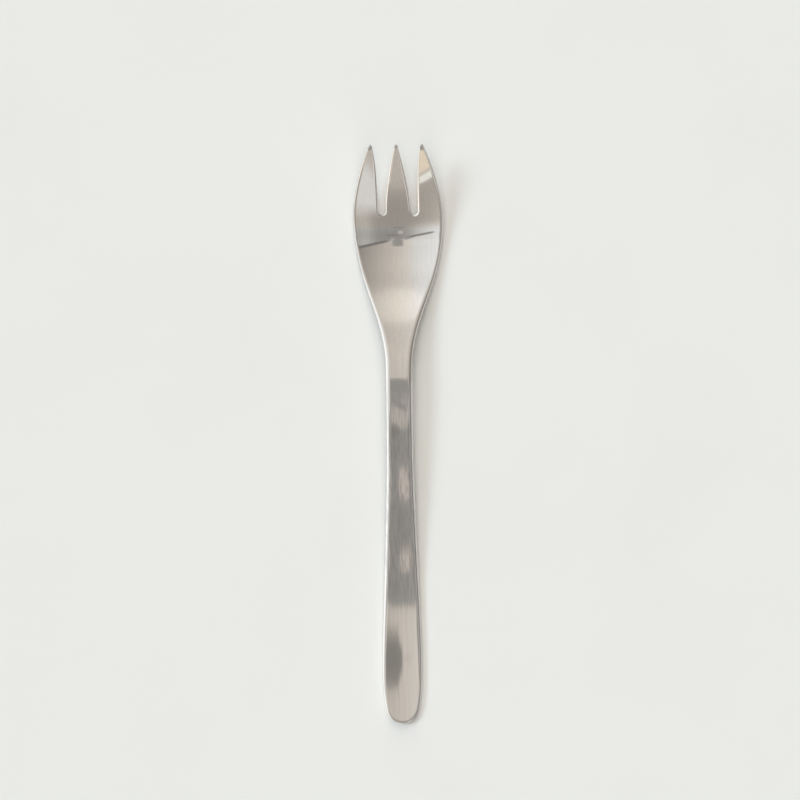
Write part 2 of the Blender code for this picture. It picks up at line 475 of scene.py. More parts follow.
@dataclass
class ForkProfile:
    """Side profile, hollows and thickness that the press gives to the flat blank."""

    plan: ForkPlan
    rest_length: float = 0.0195
    rest_radius: float = 0.3200
    rise_from_tail: float = 0.0600
    rise_height: float = 0.0046
    rise_slope: float = math.radians(7.4)
    crest_from_tips: float = 0.0685
    crest_height: float = 0.0083
    crest_radius: float = 0.1000
    belly_from_tips: float = 0.0300
    belly_radius: float = 0.0350
    tip_height: float = 0.0152
    tip_slope: float = math.radians(36.0)
    dish_depth: float = 0.0018
    tip_dish: float = 0.0006
    tail_thickness: float = 0.0020
    neck_thickness: float = 0.0025
    bowl_thickness: float = 0.0016
    tip_thickness: float = 0.0011
    hollow_radius: float = 0.0900
    tail_edge_width: float = 0.00075
    handle_edge_width: float = 0.00150
    head_edge_width: float = 0.00085
    tip_edge_width: float = 0.00042
    edge_change: float = 0.0450
    ground_height: float = 0.01485
    ground_slope: float = math.radians(5.5)
    ground_length: float = 0.0022

    @property
    def rest_y(self) -> float:
        """Place where the handle leaves the table."""
        return self.plan.tail_y + self.rest_length

    @property
    def crest_y(self) -> float:
        """Place of the top of the neck's arch."""
        return self.plan.tip_y - self.crest_from_tips

    @property
    def belly_y(self) -> float:
        """Place of the lowest part of the head."""
        return self.plan.tip_y - self.belly_from_tips

    def thickness(self, y: Array) -> Array:
        """Work out the metal's thickness: smooth steps from tail to neck, bowl and tips.

        Args:
            y: Places along the fork.

        Returns:
            The thickness at each place.
        """
        return stepped(y, self.tail_thickness, [
            (self.neck_thickness, self.rest_y, self.crest_y),
            (self.bowl_thickness, self.crest_y, self.belly_y),
            (self.tip_thickness, self.belly_y, self.plan.tip_y),
        ])

    def stations(self) -> list[Station]:
        """Work out where the side profile turns, from the table to the tips.

        Returns:
            The stations, in order.
        """
        rise_y = self.plan.tail_y + self.rise_from_tail
        rise_middle = self.rise_height - float(self.thickness(np.array(rise_y))) / 2
        crest_middle = self.crest_height - self.neck_thickness / 2
        tip_middle = self.tip_height - self.tip_thickness / 2
        return [
            Station(self.rest_y, self.tail_thickness / 2, 0.0, 1.0 / self.rest_radius),
            Station(rise_y, rise_middle, math.tan(self.rise_slope), 0.0),
            Station(self.crest_y, crest_middle, 0.0, -1.0 / self.crest_radius),
            Station(self.belly_y, self.bowl_thickness / 2, 0.0, 1.0 / self.belly_radius),
            Station(self.plan.tip_y, tip_middle, math.tan(self.tip_slope), 0.0),
        ]

    def middle(self, x: Array, y: Array) -> Array:
        """Return the height of the metal's middle: the side profile plus the hollow.

        The hollow rises with the square of the distance from the centre line. Its depth
        steps in from the neck to the bowl and steps down again towards the tips.

        Args:
            x: Places across the fork.
            y: Places along it.

        Returns:
            The height at each place.
        """
        stations = self.stations()
        height = np.full_like(y, stations[0].height)
        for start, end in zip(stations, stations[1:]):
            height = np.where(y > start.y, bend(y, start, end), height)
        depth = stepped(y, 0.0, [
            (self.dish_depth, self.crest_y, self.belly_y),
            (self.tip_dish, self.plan.slot_y, self.plan.tip_y),
        ])
        return height + depth * (2.0 * x / self.plan.head_width) ** 2

    def face_level(self, plan: Array, face: Face) -> Array:
        """Return how far a face lies from the middle of the metal.

        The back lies half the thickness down. The upper face lies half the thickness up and
        is hollow across the handle, so it rises by x^2 / 2R. That hollow fades out between
        the neck and the bowl, where the dish takes over.

        Args:
            plan: Points in plan.
            face: Face to measure.

        Returns:
            The level at each point.
        """
        x, y = plan[..., 0], plan[..., 1]
        level = face.value * self.thickness(y) / 2
        if face is Face.HOLLOW:
            fade = 1.0 - smooth_step(y, self.crest_y, self.belly_y)
            level = level + fade * x * x / (2.0 * self.hollow_radius)
        return level

    def rounding(self, y: Array) -> Array:
        """Return how far the eased edge reaches into the face: widest on the handle.

        Args:
            y: Places along the fork.

        Returns:
            The width of the edge at each place.
        """
        tail_y, tip_y = self.plan.tail_y, self.plan.tip_y
        middle_of_tine = (self.plan.slot_y + tip_y) / 2
        return stepped(y, self.tail_edge_width, [
            (self.handle_edge_width, tail_y, tail_y + self.edge_change),
            (self.head_edge_width, self.crest_y, self.belly_y),
            (self.tip_edge_width, middle_of_tine, tip_y),
        ])

    def press(self, plan: Array, level: Array) -> Array:
        """Carry points of the flat blank into the pressed shape.

        A point goes to the middle surface above its place in plan, and from there along the
        surface normal by its level. What would stand above the ground ends of the tines is
        brought down to them.

        Args:
            plan: Points in plan.
            level: Distance of each from the middle of the metal, up from the hollow.

        Returns:
            The points in space.
        """
        x, y = plan[..., 0], plan[..., 1]
        across = (self.middle(x + PROBE, y) - self.middle(x - PROBE, y)) / (2.0 * PROBE)
        along = (self.middle(x, y + PROBE) - self.middle(x, y - PROBE)) / (2.0 * PROBE)
        normal = np.stack((-across, -along, np.ones_like(x)), axis=-1)
        normal /= np.linalg.norm(normal, axis=-1, keepdims=True)
        middle = np.stack((x, y, self.middle(x, y)), axis=-1)
        pressed = middle + normal * level[..., None]
        reach = pressed[..., 1] - self.plan.tip_y
        ground = self.ground_height + math.tan(self.ground_slope) * reach
        height = pressed[..., 2]
        pressed[..., 2] = np.where(reach > -self.ground_length, np.minimum(height, ground), height)
        return pressed


def fill(bottom: Array, top: Array, left: Array, right: Array, hold: tuple[float, float]) -> Array:
    """Fill four edges that meet at their corners with a grid of points.

    Rows are ruled from left to right. To them is added how far the bottom and the top
    stray from their own straight spacing, and that fades with a power of the distance.

    Args:
        bottom: Points from left to right.
        top: As many points from left to right.
        left: Points from bottom to top.
        right: As many points from bottom to top.
        hold: Powers with which the bottom's and the top's share fade.

    Returns:
        The grid, with rows from bottom to top.
    """
    u = np.linspace(0.0, 1.0, len(bottom))[:, None]
    v = np.linspace(0.0, 1.0, len(left))[:, None, None]
    rows = (1.0 - u) * left[:, None] + u * right[:, None]
    low = bottom - (1.0 - u) * bottom[0] - u * bottom[-1]
    high = top - (1.0 - u) * top[0] - u * top[-1]
    return rows + (1.0 - v) ** hold[0] * low + v ** hold[1] * high


@dataclass(frozen=True)
class EdgeSection:
    """Section of a tumbled edge: it eases off the face, then turns tightly to the side."""

    easy_turn: float = math.radians(36.0)
    tight_radius: float = 0.07
    easy_steps: int = 14
    tight_steps: int = 5

    def half(self) -> tuple[Array, Array]:
        """Walk the section from the outline to the face, for an edge one unit wide.

        The easy part's drop grows with the cube of the distance, so it leaves the face
        smoothly. The tight part is an arc of radius R, which lies R * sin a out and
        R * (1 - cos a) down at slope a.

        Returns:
            The distance in from the outline and the drop below the face at each step.
        """
        nose = self.tight_radius * (1.0 - math.sin(self.easy_turn))
        easy_out = np.linspace(0.0, 1.0 - nose, self.easy_steps + 1)
        depth = math.tan(self.easy_turn) * (1.0 - nose) / 3.0
        easy_drop = depth * (easy_out / (1.0 - nose)) ** 3
        tight = np.linspace(self.easy_turn, math.pi / 2, self.tight_steps + 1)[1:]
        tight_out = 1.0 - nose + self.tight_radius * (np.sin(tight) - math.sin(self.easy_turn))
        tight_drop = depth + self.tight_radius * (math.cos(self.easy_turn) - np.cos(tight))
        out = np.concatenate((easy_out, tight_out))
        drop = np.concatenate((easy_drop, tight_drop))
        return (1.0 - out)[::-1], drop[::-1]


@dataclass
class MeshStock:
    """Grids of points that are gathered into one mesh."""

    points: list[Array] = field(default_factory=list)
    quads: list[Array] = field(default_factory=list)
    charts: list[Array] = field(default_factory=list)
    finishes: list[Array] = field(default_factory=list)
    count: int = 0

    def add_grid(self, grid: Array, chart: Array, finish: Finish) -> None:
        """Add a grid whose columns turn left from its rows, seen from outside the metal.

        Args:
            grid: Points in space, rows by columns.
            chart: Surface coordinates of the same points.
            finish: Finish of the new faces.
        """
        rows, columns = grid.shape[:2]
        index = self.count + np.arange(rows * columns).reshape(rows, columns)
        corners = (index[:-1, :-1], index[:-1, 1:], index[1:, 1:], index[1:, :-1])
        quads = np.stack([corner.ravel() for corner in corners], axis=1)
        self.points.append(grid.reshape(-1, 3))
        self.charts.append(chart.reshape(-1, 2))
        self.quads.append(quads)
        self.finishes.append(np.full(len(quads), finish.value, dtype=np.int32))
        self.count += rows * columns

    def to_mesh(self, name: str, chart_name: str) -> bpy.types.Mesh:
        """Weld the grids into one closed, smooth mesh.

        Args:
            name: Name of the mesh.
            chart_name: Name of its map of surface coordinates.

        Returns:
            The mesh.
        """
        quads = np.concatenate(self.quads)
        charts = np.concatenate(self.charts)
        mesh = bpy.data.meshes.new(name)
        mesh.from_pydata(np.concatenate(self.points).tolist(), [], quads.tolist())
        mesh.polygons.foreach_set("material_index", np.concatenate(self.finishes))
        layer = mesh.uv_layers.new(name=chart_name)
        layer.data.foreach_set("uv", charts[quads.ravel()].astype(np.float32).ravel())
        welded = bmesh.new()
        welded.from_mesh(mesh)
        bmesh.ops.remove_doubles(welded, verts=welded.verts, dist=WELD)
        bmesh.ops.recalc_face_normals(welded, faces=welded.faces)
        welded.to_mesh(mesh)
        welded.free()
        mesh.shade_smooth()
        return mesh


@dataclass
class ForkBody:
    """The whole fork: two broad faces and the rounded rim that joins them."""

    plan: ForkPlan
    profile: ForkProfile
    body_rows: int = 240
    tine_rows: int = 44
    outer_columns: int = 12
    slot_columns: int = 10
    middle_columns: int = 14
    body_hold: tuple[float, float] = (18.0, 9.0)
    tine_hold: tuple[float, float] = (1.0, 4.0)
    edge: EdgeSection = field(default_factory=EdgeSection)
    name: str = "steel_fork"
    chart_name: str = "grain_chart"

    def seam_y(self) -> float:
        """Return the seam below the tines: level with the corners of the slots' round ends."""
        reach = self.plan.slot_width / 2 + float(self.profile.rounding(np.array(self.plan.slot_y)))
        return self.plan.root_y - reach * math.cos(math.pi / 4)

    def inset(self, stretch: RimStretch) -> Array:
        """Return the stretch moved into the metal by the depth of the rounded edge."""
        depth = self.profile.rounding(stretch.points[:, 1])[:, None]
        return stretch.points - stretch.outward * depth

    def stretches(self) -> dict[str, RimStretch]:
        """Space out the right half of the outline and the two ends that cross the middle.

        Returns:
            The stretches by name.
        """
        seam = self.seam_y()
        return {
            "tail": self.plan.tail_end().resampled(self.columns() + 1),
            "flank": self.plan.flank(seam).resampled(self.body_rows + 1),
            "outer_side": self.plan.outer_side(seam).resampled(self.tine_rows + 1),
            "outer_tip": self.plan.outer_tip().resampled(self.outer_columns + 1),
            "inner_side": self.plan.inner_side().resampled(self.tine_rows + 1),
            "slot_end": self.plan.slot_end().resampled(self.slot_columns + 1),
            "middle_side": self.plan.middle_side().resampled(self.tine_rows + 1),
            "middle_tip": self.plan.middle_tip().resampled(self.middle_columns + 1),
        }

    def columns(self) -> int:
        """Return how many columns of faces lie across the handle."""
        return 2 * self.outer_columns + 2 * self.slot_columns + self.middle_columns

    def face_grids(self, stretches: dict[str, RimStretch]) -> list[Array]:
        """Fill the outline in plan with four patches that meet along the seam.

        Args:
            stretches: Stretches of the outline by name.

        Returns:
            The handle and bowl, then the right, left and middle tines.
        """
        edge = {name: self.inset(stretch) for name, stretch in stretches.items()}
        slot = edge["slot_end"][::-1]
        outer_seam = np.linspace(slot[-1], edge["flank"][-1], self.outer_columns + 1)
        middle_seam = np.linspace(slot[0] * MIRROR, slot[0], self.middle_columns + 1)
        right_half = (slot[1:], outer_seam[1:])
        left_half = (outer_seam[::-1] * MIRROR, edge["slot_end"][1:] * MIRROR)
        top = np.concatenate((*left_half, middle_seam[1:], *right_half))
        body = fill(edge["tail"], top, edge["flank"] * MIRROR, edge["flank"], self.body_hold)
        inner = edge["inner_side"][::-1]
        right_tine = fill(outer_seam, edge["outer_tip"][::-1], inner, edge["outer_side"], self.tine_hold)
        left_tine = (right_tine * MIRROR)[:, ::-1]
        middle = edge["middle_side"]
        tip = edge["middle_tip"][::-1]
        middle_tine = fill(middle_seam, tip, middle * MIRROR, middle, self.tine_hold)
        return [body, right_tine, left_tine, middle_tine]

    def rim(self, stretches: dict[str, RimStretch]) -> RimStretch:
        """Join the stretches and their mirror images into the whole outline.

        Args:
            stretches: Stretches of the right half by name.

        Returns:
            The outline, walked once round from the left end of the tail.
        """
        order = ("flank", "outer_side", "outer_tip", "inner_side", "slot_end", "middle_side")
        right = stretches["tail"]
        for name in order:
            right = right.then(stretches[name])
        walk = right.then(stretches["middle_tip"])
        for name in reversed(order):
            walk = walk.then(stretches[name].mirrored())
        return walk

    def rim_grid(self, rim: RimStretch) -> tuple[Array, Array]:
        """Carry the edge's section round the outline, from the back to the upper face.

        Args:
            rim: The outline.

        Returns:
            The points in space and their surface coordinates.
        """
        width = self.profile.rounding(rim.points[:, 1])[:, None]
        face_end = self.inset(rim)
        upper = self.profile.face_level(face_end, Face.HOLLOW)[:, None]
        lower = self.profile.face_level(face_end, Face.BACK)[:, None]
        reach, drop = (part[None] for part in self.edge.half())
        inward = width * np.concatenate((reach[:, ::-1], reach), axis=1)
        level = np.concatenate((lower + width * drop[:, ::-1], upper - width * drop), axis=1)
        plan = rim.points[:, None] - rim.outward[:, None] * inward[..., None]
        points = self.profile.press(plan, level)
        chart = np.stack(np.broadcast_arrays(level, rim.walked()[:, None]), axis=-1) / self.plan.length
        return points, chart

    def build(self) -> bpy.types.Object:
        """Build the fork's mesh and put it in the scene.

        Returns:
            The fork's object.
        """
        stock = MeshStock()
        stretches = self.stretches()
        for grid in self.face_grids(stretches):
            chart = grid / self.plan.length
            upper, back = (
                self.profile.press(grid, self.profile.face_level(grid, face)) for face in Face
            )
            stock.add_grid(upper, chart, Finish.SATIN)
            stock.add_grid(back[:, ::-1], chart[:, ::-1], Finish.SATIN)
        points, chart = self.rim_grid(self.rim(stretches))
        stock.add_grid(points.transpose(1, 0, 2), chart.transpose(1, 0, 2), Finish.POLISHED)
        return put(self.name, stock.to_mesh(self.name, self.chart_name))

    def dress(self, fork: bpy.types.Object, finishes: dict[Finish, "SteelFinish"]) -> None:
        """Give the faces and the rim their finishes.

        Args:
            fork: The fork's object.
            finishes: Finish for each material slot.
        """
        for slot in Finish:
            fork.data.materials.append(finishes[slot].material(self.chart_name))


class Noise(Enum):
    """The noises of the finishes and the studio, by their detail and roughness."""

    LINES = (2.0, 0.55)
    SCRATCHES = (1.0, 0.5)
    SMUDGES = (3.0, 0.55)
    CLOUDS = (3.0, 0.5)
    THREADS = (2.0, 0.6)


class NodeBench:
    """Places and joins the nodes of one tree."""

    def __init__(self, tree: bpy.types.NodeTree) -> None:
        """Keep the tree that the nodes go into."""
        self.tree = tree

    def feed(self, socket: Socket, value: object) -> None:
        """Join a socket to another socket, or set its plain value.

        Args:
            socket: Socket to feed.
            value: The other socket, a number, a vector or a colour.
        """
        if isinstance(value, Socket):
            self.tree.links.new(value, socket)
        else:
            socket.default_value = (*value, OPAQUE) if socket.type == "RGBA" else value

    def join(self, node: bpy.types.Node, feeds: dict[str, object]) -> None:
        """Feed a node's inputs by name."""
        for name, value in feeds.items():
            self.feed(node.inputs[name], value)

    def join_in_order(self, node: bpy.types.Node, values: tuple[object, ...]) -> Socket:
        """Feed a node's inputs in order.

        Args:
            node: Node to feed.
            values: Sockets or plain values for its first inputs.

        Returns:
            The node's first output.
        """
        for socket, value in zip(node.inputs, values):
            self.feed(socket, value)
        return node.outputs[0]

    def add(
        self, kind: str, feeds: dict[str, object] | None = None, **settings: object
    ) -> bpy.types.Node:
        """Add a node, set its properties and feed its inputs.

        Args:
            kind: Blender's name for the kind of node.
            feeds: Sockets or plain values for its inputs, by name.
            **settings: Properties of the node.

        Returns:
            The node.
        """
        node = self.tree.nodes.new(kind)
        for name, value in settings.items():
            setattr(node, name, value)
        self.join(node, feeds or {})
        return node

    def maths(self, operation: str, *values: object) -> Socket:
        """Return the result of a Math node on numbers or sockets."""
        return self.join_in_order(self.add("ShaderNodeMath", operation=operation), values)

    def vectors(self, operation: str, *values: object) -> Socket:
        """Return the result of a Vector Math node on vectors or sockets."""
        return self.join_in_order(self.add("ShaderNodeVectorMath", operation=operation), values)

    def times(self, first: object, second: object) -> Socket:
        """Return the product of two values."""
        return self.maths("MULTIPLY", first, second)

    def line(self, value: object, slope: object, start: object) -> Socket:
        """Return start + slope * value."""
        return self.maths("MULTIPLY_ADD", value, slope, start)

    def rest(self, share: object) -> Socket:
        """Return what a share leaves of 1."""
        return self.maths("SUBTRACT", 1.0, share)

    def between(self, share: object, first: object, second: object) -> Socket:
        """Return first at a share of 0, second at 1, and a straight line between."""
        return self.line(share, self.maths("SUBTRACT", second, first), first)

    def in_units(self, place: Socket, size: float) -> Socket:
        """Return a place measured in units of a size."""
        feeds = {"Vector": place, "Scale": 1.0 / size}
        return self.add("ShaderNodeVectorMath", feeds, operation="SCALE").outputs["Vector"]

    def split(self, vector: Socket) -> tuple[Socket, Socket]:
        """Return a vector's parts along X and Y."""
        parts = self.add("ShaderNodeSeparateXYZ", {"Vector": vector}).outputs
        return parts["X"], parts["Y"]

    def coordinates(self, kind: str) -> Socket:
        """Return the coordinates of a kind that Blender names."""
        return self.add("ShaderNodeTexCoord").outputs[kind]

    def noise(self, vector: Socket, kind: Noise) -> Socket:
        """Add a noise that varies over one unit of a vector.

        Args:
            vector: Place to read.
            kind: Detail and roughness of the noise.

        Returns:
            The noise, from 0 to 1.
        """
        detail, roughness = kind.value
        feeds = {"Vector": vector, "Scale": 1.0, "Detail": detail, "Roughness": roughness}
        return self.add("ShaderNodeTexNoise", feeds).outputs["Fac"]

    def fray(self, vector: Socket, reach: float) -> Socket:
        """Return a noise of threads, centred on 0 and as tall as the reach."""
        return self.line(self.noise(vector, Noise.THREADS), reach, -reach / 2)

    def ramp(self, value: Socket, band: Band) -> Socket:
        """Return 0 below a band, 1 above it and a smooth step between."""
        feeds = {"Value": value, "From Min": band[0], "From Max": band[1]}
        return self.add("ShaderNodeMapRange", feeds, interpolation_type="SMOOTHSTEP").outputs["Result"]

    def mix(self, share: object, first: object, second: object) -> Socket:
        """Mix two colours.

        Args:
            share: Share of the second colour.
            first: Colour at a share of 0.
            second: Colour at a share of 1.

        Returns:
            The colour between them.
        """
        node = self.add("ShaderNodeMix", data_type="RGBA")
        sockets = {socket.identifier: socket for socket in node.inputs}
        for name, value in zip(("Factor_Float", "A_Color", "B_Color"), (share, first, second)):
            self.feed(sockets[name], value)
        return next(socket for socket in node.outputs if socket.identifier == "Result_Color")

    def swap(self, share: object, first: Socket, second: Socket) -> Socket:
        """Return a shader that passes from the first to the second as the share rises."""
        return self.join_in_order(self.add("ShaderNodeMixShader"), (share, first, second))

    def glow(self, colour: object) -> Socket:
        """Return an even glow."""
        return self.add("ShaderNodeEmission", {"Color": colour}).outputs["Emission"]

    def see_through(self) -> Socket:
        """Return a shader that lets everything through."""
        return self.add("ShaderNodeBsdfTransparent").outputs["BSDF"]

    def sky(self, colour: object, strength: object = 1.0) -> Socket:
        """Return a background of a colour and a strength."""
        feeds = {"Color": colour, "Strength": strength}
        return self.add("ShaderNodeBackground", feeds).outputs["Background"]


def new_material(name: str) -> tuple[bpy.types.Material, NodeBench]:
    """Start a material.

    Args:
        name: Name of the material.

    Returns:
        The material and a bench on its nodes.
    """
    made = bpy.data.materials.new(name)
    made.use_nodes = True
    return made, NodeBench(made.node_tree)


def put_flat(name: str, rim: Array, material: bpy.types.Material) -> bpy.types.Object:
    """Put one flat face on the stage.

    Args:
        name: Name of the object.
        rim: Corners in order.
        material: Its material.

    Returns:
        The object.
    """
    mesh = bpy.data.meshes.new(name)
    mesh.from_pydata(rim.tolist(), [], [list(range(len(rim)))])
    mesh.materials.append(material)
    flat = put(name, mesh)
    return flat


class EffectGroup:
    """A shader node group, built once and placed in each material with its own values."""

    NAME = "effect"
    INPUTS: dict[str, str] = {}
    OUTPUTS: tuple[str, ...] = ()

    def __init__(self) -> None:
        """Build the group's sockets and what lies between them."""
        self.tree = bpy.data.node_groups.new(self.NAME, "ShaderNodeTree")
        for name, kind in self.INPUTS.items():
            self.tree.interface.new_socket(name, in_out="INPUT", socket_type=kind)
        for name in self.OUTPUTS:
            self.tree.interface.new_socket(name, in_out="OUTPUT", socket_type=FLOAT)
        bench = NodeBench(self.tree)
        given = {socket.name: socket for socket in bench.add("NodeGroupInput").outputs}
        bench.add("NodeGroupOutput", dict(zip(self.OUTPUTS, self.effects(bench, given))))

    def effects(self, bench: NodeBench, given: dict[str, Socket]) -> list[Socket]:
        """Return the group's outputs in order, from its inputs by name."""
        raise NotImplementedError

    def place(self, bench: NodeBench, *values: object) -> list[Socket]:
        """Put the group into a material.

        Args:
            bench: Bench of the material.
            *values: Sockets or plain values for the group's inputs, in order.

        Returns:
            The group's outputs, in order.
        """
        node = bench.add("ShaderNodeGroup", node_tree=self.tree)
        bench.join(node, dict(zip(self.INPUTS, values)))
        return [node.outputs[name] for name in self.OUTPUTS]


class BrushedGrain(EffectGroup):
    """Brushing lines: a noise drawn out along the fork."""

    NAME = "brushed_grain"
    INPUTS = {"Place": VECTOR, "Line Width": FLOAT, "Line Length": FLOAT}
    OUTPUTS = ("Lines",)

    def effects(self, bench: NodeBench, given: dict[str, Socket]) -> list[Socket]:
        """Draw the lines: the noise of the place divided by a line's size.

        Args:
            bench: Bench of the group.
            given: The group's inputs by name.

        Returns:
            The lines.
        """
        width, length = given["Line Width"], given["Line Length"]
        size = bench.add("ShaderNodeCombineXYZ", {"X": width, "Y": length, "Z": width})
        drawn = bench.vectors("DIVIDE", given["Place"], size.outputs["Vector"])
        return [bench.noise(drawn, Noise.LINES)]


class HandlingMarks(EffectGroup):
    """What use leaves on steel: hairline scratches and soft smudges."""

    NAME = "handling_marks"
    INPUTS = {"Place": VECTOR}
    OUTPUTS = ("Scratches", "Smudges")
    SCRATCH_SIZE = (0.0030, 0.0210, 0.0030)
    SCRATCH_TURN = (0.0, 0.0, math.radians(21.0))
    SCRATCH_BAND = (0.0, 0.004)
    PATCH_SIZE = 0.012
    PATCH_BAND = (0.50, 0.62)
    SMUDGE_SIZE = 0.0085
    SMUDGE_BAND = (0.42, 0.68)

    def effects(self, bench: NodeBench, given: dict[str, Socket]) -> list[Socket]:
        """Draw scratches where a drawn-out noise crosses its middle, and smudges from a finer one.

        Args:
            bench: Bench of the group.
            given: The group's inputs by name.

        Returns:
            The scratches and the smudges.
        """
        place = given["Place"]
        turn = {"Vector": place, "Rotation": self.SCRATCH_TURN}
        turned = bench.add("ShaderNodeVectorRotate", turn, rotation_type="EULER_XYZ").outputs["Vector"]
        drawn = bench.noise(bench.vectors("DIVIDE", turned, self.SCRATCH_SIZE), Noise.SCRATCHES)
        off = bench.maths("ABSOLUTE", bench.maths("SUBTRACT", drawn, NOISE_MIDDLE))
        hairlines = bench.rest(bench.ramp(off, self.SCRATCH_BAND))
        patches = bench.noise(bench.in_units(place, self.PATCH_SIZE), Noise.SCRATCHES)
        spots = bench.noise(bench.in_units(place, self.SMUDGE_SIZE), Noise.SMUDGES)
        scratches = bench.times(hairlines, bench.ramp(patches, self.PATCH_BAND))
        return [scratches, bench.ramp(spots, self.SMUDGE_BAND)]


@dataclass(frozen=True)
class SteelFinish:
    """A finish of the steel: its colour, gloss and the lines that brushing leaves."""

    name: str
    grain: BrushedGrain
    marks: HandlingMarks
    colour: Colour = (0.64, 0.62, 0.59)
    line_colour: Colour = (0.535, 0.518, 0.494)
    line_band: Band = (0.40, 0.66)
    roughness: float = 0.045
    line_roughness: float = 0.045
    smudge_roughness: float = 0.015
    scratch_roughness: float = 0.010
    anisotropy: float = 0.25
    fine_width: float = 0.00011
    fine_length: float = 0.0060
    fine_depth: float = 0.00000025
    streak_width: float = 0.00048
    streak_length: float = 0.0180
    streak_depth: float = 0.0000032
    calm_head: Band = (-0.0050, 0.0350)
    calm_tail: Band = (-0.0540, -0.0440)
    calm_share: float = 0.80

    def material(self, chart_name: str) -> bpy.types.Material:
        """Build the finish as a material, with calmer streaks on the head and the tail.

        Args:
            chart_name: Map of surface coordinates, whose first axis lies across the brushing.

        Returns:
            The material.
        """
        made, bench = new_material(self.name)
        place = bench.coordinates("Object")
        [fine] = self.grain.place(bench, place, self.fine_width, self.fine_length)
        [streak] = self.grain.place(bench, place, self.streak_width, self.streak_length)
        scratches, smudges = self.marks.place(bench, place)
        along = bench.split(place)[1]
        head = bench.ramp(along, self.calm_head)
        tail = bench.rest(bench.ramp(along, self.calm_tail))
        force = bench.line(bench.maths("ADD", head, tail), -self.calm_share, 1.0)
        tone = bench.times(bench.ramp(streak, self.line_band), force)
        gloss = bench.line(tone, self.line_roughness, self.roughness)
        gloss = bench.line(smudges, self.smudge_roughness, gloss)
        gloss = bench.line(scratches, self.scratch_roughness, gloss)
        height = bench.times(fine, self.fine_depth)
        height = bench.line(bench.times(streak, force), self.streak_depth, height)
        bump = bench.add("ShaderNodeBump", {"Distance": 1.0, "Height": height})
        tangent = bench.add("ShaderNodeTangent", direction_type="UV_MAP", uv_map=chart_name)
        bench.join(made.node_tree.nodes["Principled BSDF"], {
            "Base Color": bench.mix(tone, self.colour, self.line_colour),
            "Roughness": gloss,
            "Normal": bump.outputs["Normal"],
            "Tangent": tangent.outputs["Tangent"],
            "Metallic": 1.0,
            "Anisotropic": self.anisotropy,
        })
        return made


@dataclass(frozen=True)
class Table:
    """The pale table under the fork: a disc that is seen through from below."""

    radius: float = 4.0
    sides: int = 96
    drop: float = 0.00002
    colour: Colour = (0.80, 0.805, 0.785)
    cloud_colour: Colour = (0.787, 0.792, 0.772)
    cloud_size: float = 1.0 / 18.0
    cloud_band: Band = (0.40, 0.75)
    roughness: float = 0.85
    specular: float = 0.1
    # Painted reflection: an even glow that the steel mirrors in place of half of the table's lit shade.
    glow: Colour = (0.85, 0.85, 0.83)
    painted_glow_share: float = 0.5

    def build(self) -> None:
        """Lay the table."""
        angle = np.linspace(0.0, 2.0 * math.pi, self.sides, endpoint=False)
        rim = self.radius * np.stack((np.cos(angle), np.sin(angle)), axis=1)
        put_flat("table", np.column_stack((rim, np.full(self.sides, -self.drop))), self.material())

    def material(self) -> bpy.types.Material:
        """Mix the matt, faintly clouded paint with a painted reflection: the steel mirrors the table
        half as its lit paint and half as an even, painted glow.

        Returns:
            The material.
        """
        made, bench = new_material("table_paint")
        shader = made.node_tree.nodes["Principled BSDF"]
        clouds = bench.noise(bench.in_units(bench.coordinates("Object"), self.cloud_size), Noise.CLOUDS)
        colour = bench.mix(bench.ramp(clouds, self.cloud_band), self.colour, self.cloud_colour)
        bench.join(shader, {
            "Base Color": colour,
            "Roughness": self.roughness,
            "Specular IOR Level": self.specular,
        })
        # Painted reflection: rays mirrored straight off the steel see half an even glow instead of the
        # table's lit, shadowed paint.
        path = bench.add("ShaderNodeLightPath").outputs
        direct = bench.maths("LESS_THAN", path["Diffuse Depth"], FIRST_LEG)
        mirrored = bench.times(path["Is Glossy Ray"], direct)
        painted_glow_mix = bench.times(mirrored, self.painted_glow_share)
        shown = bench.swap(painted_glow_mix, shader.outputs["BSDF"], bench.glow(self.glow))
        behind = bench.add("ShaderNodeNewGeometry").outputs["Backfacing"]
        surface = bench.swap(behind, shown, bench.see_through())
        bench.join(made.node_tree.nodes["Material Output"], {"Surface": surface})
        return made


